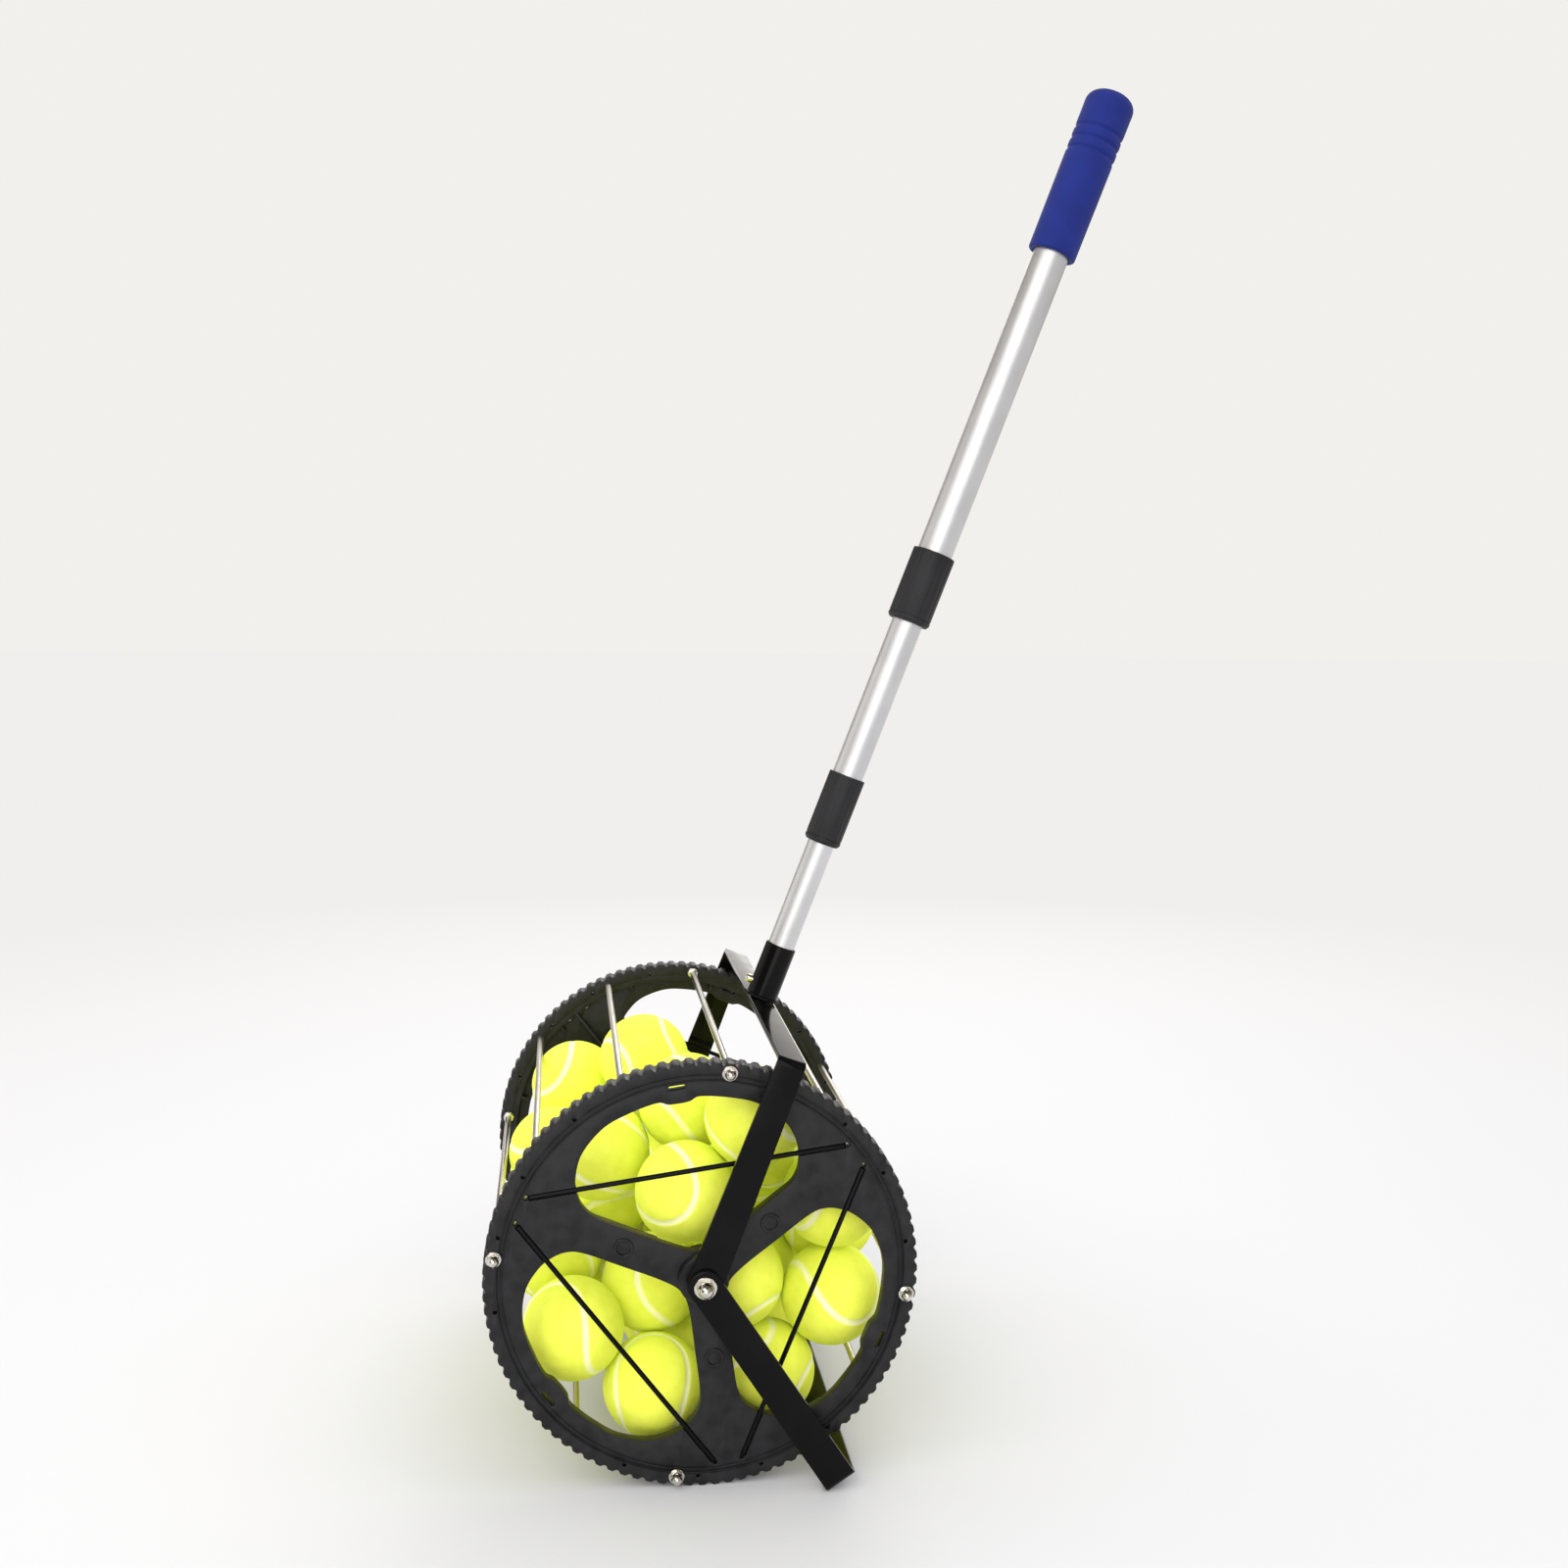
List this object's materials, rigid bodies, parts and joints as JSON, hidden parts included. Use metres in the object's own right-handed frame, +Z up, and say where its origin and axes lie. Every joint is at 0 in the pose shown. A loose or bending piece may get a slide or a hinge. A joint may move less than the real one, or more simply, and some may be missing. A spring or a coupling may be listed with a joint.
{
  "type": "tennis ball basket",
  "caption": "Rolling ball collector: a rod cage drum between toothed discs, filled with felt balls, on a forked telescopic handle with a bent bar stand.",
  "frame": {"origin": "on the floor, in the middle of the part's outline seen from above", "axes": "+Z up, the drum's axle along Y with its near disc at -Y, the handle leaning towards +X"},
  "size_m": [0.4442, 0.377, 0.9097],
  "materials": {
    "disc_plastic": "moulded, satin black",
    "black_steel": "gloss black paint",
    "black_wire": "gloss black paint",
    "rod_steel": "bright drawn wire",
    "bolt_steel": "bright plated",
    "tube_aluminium": "satin anodised",
    "collar_plastic": "moulded, satin",
    "grip_foam": "closed-cell foam",
    "button_metal": "plated",
    "ball_felt": "felt"
  },
  "bodies": {
    "frame": {"handle_fork": "black_steel", "stand_bar": "black_steel", "front_axle_bolt": "bolt_steel", "back_axle_bolt": "bolt_steel", "handle_socket": "black_steel", "lower_tube": "tube_aluminium", "ball_01": "ball_felt", "ball_02": "ball_felt", "ball_03": "ball_felt", "ball_04": "ball_felt", "ball_05": "ball_felt", "ball_06": "ball_felt", "ball_07": "ball_felt", "ball_08": "ball_felt", "ball_09": "ball_felt", "ball_10": "ball_felt", "ball_11": "ball_felt", "ball_12": "ball_felt", "ball_13": "ball_felt", "ball_14": "ball_felt", "ball_15": "ball_felt", "ball_16": "ball_felt", "ball_17": "ball_felt", "ball_18": "ball_felt", "ball_19": "ball_felt", "ball_20": "ball_felt", "ball_21": "ball_felt", "ball_22": "ball_felt", "ball_23": "ball_felt", "ball_24": "ball_felt", "ball_25": "ball_felt", "ball_26": "ball_felt", "ball_27": "ball_felt", "ball_28": "ball_felt"},
    "drum": {"front_disc": "disc_plastic", "back_disc": "disc_plastic", "front_chord_bar_1": "black_wire", "front_chord_bar_2": "black_wire", "front_chord_bar_3": "black_wire", "back_chord_bar_1": "black_wire", "back_chord_bar_2": "black_wire", "back_chord_bar_3": "black_wire", "tie_rod_01": "bolt_steel", "tie_rod_04": "bolt_steel", "tie_rod_07": "bolt_steel", "tie_rod_10": "bolt_steel", "cage_rod_02": "rod_steel", "cage_rod_03": "rod_steel", "cage_rod_05": "rod_steel", "cage_rod_06": "rod_steel", "cage_rod_08": "rod_steel", "cage_rod_09": "rod_steel", "cage_rod_11": "rod_steel", "cage_rod_12": "rod_steel"},
    "button": {"snap_button": "button_metal"},
    "middle_section": {"middle_tube": "tube_aluminium"},
    "lower_clamp": {"lower_collar": "collar_plastic"},
    "upper_section": {"upper_tube": "tube_aluminium", "foam_grip": "grip_foam"},
    "upper_clamp": {"upper_collar": "collar_plastic"}
  },
  "joints": [
    {"name": "drum_roll", "type": "hinge", "parent": "frame", "child": "drum", "pos_m": [-0.08714, 0, 0.135], "axis": [0, 1, 0], "continuous": true},
    {"name": "button_press", "type": "slide", "parent": "frame", "child": "button", "axis": [0.9336, 0, -0.3584], "range_m": [0, 0.005], "stiffness_N_per_m": 800, "springref_m": -0.002},
    {"name": "middle_tube_slide", "type": "slide", "parent": "frame", "child": "middle_section", "axis": [0.3584, 0, 0.9336], "range_m": [-0.075, 0.055]},
    {"name": "lower_collar_twist", "type": "hinge", "parent": "middle_section", "child": "lower_clamp", "pos_m": [0.0175, 0, 0.4076], "axis": [0.3584, 0, 0.9336], "range_deg": [0, 90]},
    {"name": "upper_tube_slide", "type": "slide", "parent": "middle_section", "child": "upper_section", "axis": [0.3584, 0, 0.9336], "range_m": [-0.112, 0.08]},
    {"name": "upper_collar_twist", "type": "hinge", "parent": "upper_section", "child": "upper_clamp", "pos_m": [0.07735, 0, 0.56351], "axis": [0.3584, 0, 0.9336], "range_deg": [0, 90]}
  ]
}
